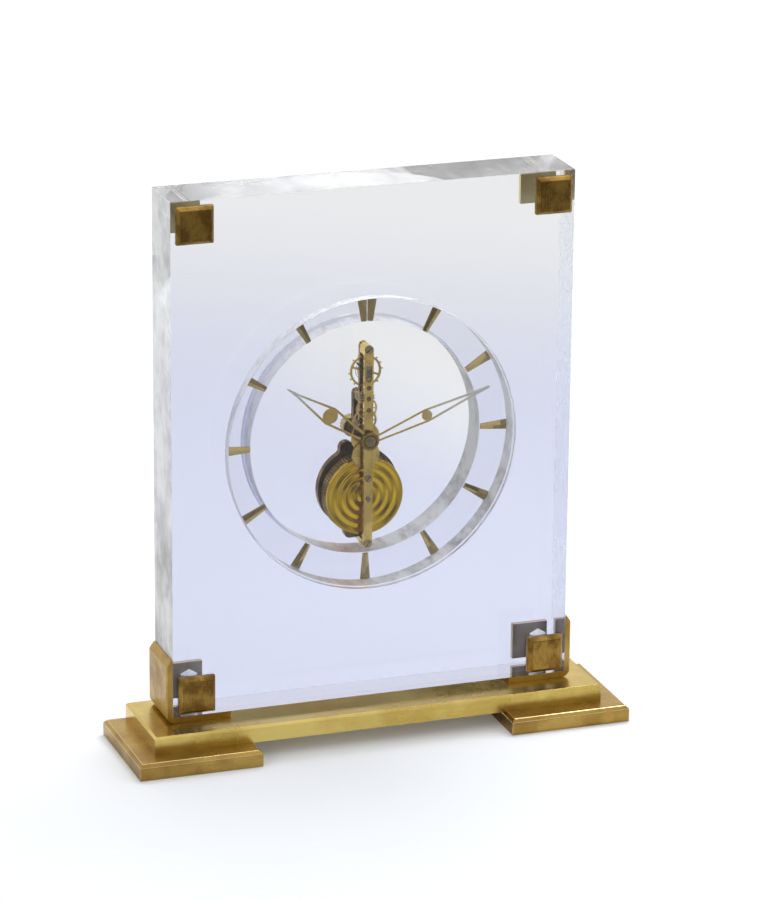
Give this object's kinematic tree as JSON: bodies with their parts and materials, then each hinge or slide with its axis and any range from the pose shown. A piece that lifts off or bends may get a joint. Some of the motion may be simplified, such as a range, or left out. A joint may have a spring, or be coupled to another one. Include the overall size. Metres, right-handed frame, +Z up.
{
  "type": "desk clock",
  "caption": "Free-standing desk clock: a clear block on a stepped brass base, with an upright skeleton movement, openwork hands and bar markers in a round recess.",
  "frame": {"origin": "middle of the overall box, on the surface that the feet stand on", "axes": "+X to the right seen from the front, -Y towards the front where the hands are, +Z up"},
  "size_m": [0.186, 0.054, 0.2046],
  "materials": {
    "acrylic": "clear, polished faces",
    "polished_brass": "polished, lightly worn",
    "aged_brass": "aged, fine grain",
    "satin_brass": "satin",
    "gilt": "polished gilt",
    "steel": "polished steel",
    "spring_steel": "tempered spring steel",
    "ruby": "polished synthetic ruby"
  },
  "bodies": {
    "case": {"clear_block": "acrylic", "front_cover": "acrylic", "rear_cover": "acrylic", "plinth_plate": "polished_brass", "left_foot": "aged_brass", "right_foot": "aged_brass", "left_bracket": "aged_brass", "right_bracket": "aged_brass", "base_screws": "steel", "foot_screws": "steel", "top_left_square": "aged_brass", "top_right_square": "aged_brass", "bottom_left_square": "aged_brass", "bottom_right_square": "aged_brass", "rear_squares": "aged_brass", "hour_markers": "gilt", "train_bridge": "gilt", "barrel_bridge": "gilt", "top_spacer": "gilt", "bottom_pillar": "gilt", "balance_bridge": "satin_brass", "middle_pillars": "satin_brass", "rear_plate": "satin_brass", "escapement_bridge": "satin_brass", "bridge_screws": "steel", "mounting_screws": "steel", "front_jewels": "ruby", "rear_jewels": "ruby", "balance_cap": "steel", "cap_screws": "steel", "index_boss": "gilt", "minute_wheel_stud": "steel", "hairspring_stud": "steel", "hairspring": "spring_steel", "click_spring": "spring_steel", "click_screw": "steel"},
    "winding": {"barrel_arbor": "steel", "ratchet_wheel": "steel", "winding_key": "polished_brass"},
    "barrel": {"barrel": "satin_brass", "barrel_cover": "polished_brass", "mainspring": "spring_steel"},
    "click": {"click": "steel"},
    "intermediate": {"intermediate_wheel": "gilt"},
    "centre": {"centre_wheel": "gilt"},
    "third": {"third_wheel": "gilt"},
    "fourth": {"fourth_wheel": "gilt"},
    "escape": {"escape_wheel": "steel", "escape_arbor": "steel"},
    "pallets": {"pallet_fork": "gilt", "pallet_stones": "ruby"},
    "balance": {"balance_wheel": "gilt", "balance_screws": "gilt", "balance_staff": "steel"},
    "regulator": {"regulator": "steel"},
    "hands": {"centre_arbor": "steel", "minute_hand": "gilt", "setting_knob": "polished_brass"},
    "hour": {"hour_hand": "gilt"},
    "motion_work": {"minute_wheel": "gilt"}
  },
  "joints": [
    {"name": "centre_turn", "type": "hinge", "parent": "case", "child": "centre", "pos_m": [0, 0, 0.1096], "axis": [0, 1, 0], "continuous": true},
    {"name": "third_turn", "type": "hinge", "parent": "case", "child": "third", "pos_m": [0, 0, 0.1156], "axis": [0, 1, 0], "continuous": true},
    {"name": "fourth_turn", "type": "hinge", "parent": "case", "child": "fourth", "pos_m": [0, 0, 0.1207], "axis": [0, 1, 0], "continuous": true},
    {"name": "intermediate_turn", "type": "hinge", "parent": "case", "child": "intermediate", "pos_m": [0, 0, 0.1032], "axis": [0, 1, 0], "continuous": true},
    {"name": "barrel_turn", "type": "hinge", "parent": "case", "child": "barrel", "pos_m": [0, 0, 0.0874], "axis": [0, 1, 0], "continuous": true},
    {"name": "escape_turn", "type": "hinge", "parent": "case", "child": "escape", "pos_m": [0, 0, 0.12502], "axis": [0, 1, 0], "continuous": true},
    {"name": "hand_setting", "type": "hinge", "parent": "case", "child": "hands", "pos_m": [0, 0, 0.1096], "axis": [0, 1, 0], "continuous": true},
    {"name": "hour_turn", "type": "hinge", "parent": "case", "child": "hour", "pos_m": [0, 0, 0.1096], "axis": [0, 1, 0], "continuous": true},
    {"name": "minute_wheel_turn", "type": "hinge", "parent": "case", "child": "motion_work", "pos_m": [0, 0, 0.1126], "axis": [0, 1, 0], "continuous": true},
    {"name": "winding_turn", "type": "hinge", "parent": "case", "child": "winding", "pos_m": [0, 0, 0.0874], "axis": [0, 1, 0], "range_deg": [0, 1620], "deforming": ["mainspring"]},
    {"name": "click_lift", "type": "hinge", "parent": "case", "child": "click", "pos_m": [0.00658, 0, 0.0912], "axis": [0, 1, 0], "range_deg": [-12, 0], "stiffness_Nm_per_rad": 0.000002, "springref_deg": 34.38},
    {"name": "pallet_rock", "type": "hinge", "parent": "case", "child": "pallets", "pos_m": [0, 0, 0.129], "axis": [0, 1, 0], "range_deg": [-5, 5]},
    {"name": "balance_swing", "type": "hinge", "parent": "case", "child": "balance", "pos_m": [0, 0, 0.1343], "axis": [0, 1, 0], "range_deg": [-270, 270], "stiffness_Nm_per_rad": 0.0000014, "deforming": ["hairspring"]},
    {"name": "regulator_turn", "type": "hinge", "parent": "case", "child": "regulator", "pos_m": [0, 0, 0.1343], "axis": [0, 1, 0], "range_deg": [-20, 20]}
  ],
  "couplings": [
    {"joint": "third_turn", "follows": "centre_turn", "ratio": -8},
    {"joint": "fourth_turn", "follows": "centre_turn", "ratio": 60},
    {"joint": "intermediate_turn", "follows": "centre_turn", "ratio": -0.25},
    {"joint": "barrel_turn", "follows": "centre_turn", "ratio": 0.02381},
    {"joint": "escape_turn", "follows": "centre_turn", "ratio": -600},
    {"joint": "hour_turn", "follows": "hand_setting", "ratio": 0.083333},
    {"joint": "minute_wheel_turn", "follows": "hand_setting", "ratio": -0.33333}
  ]
}
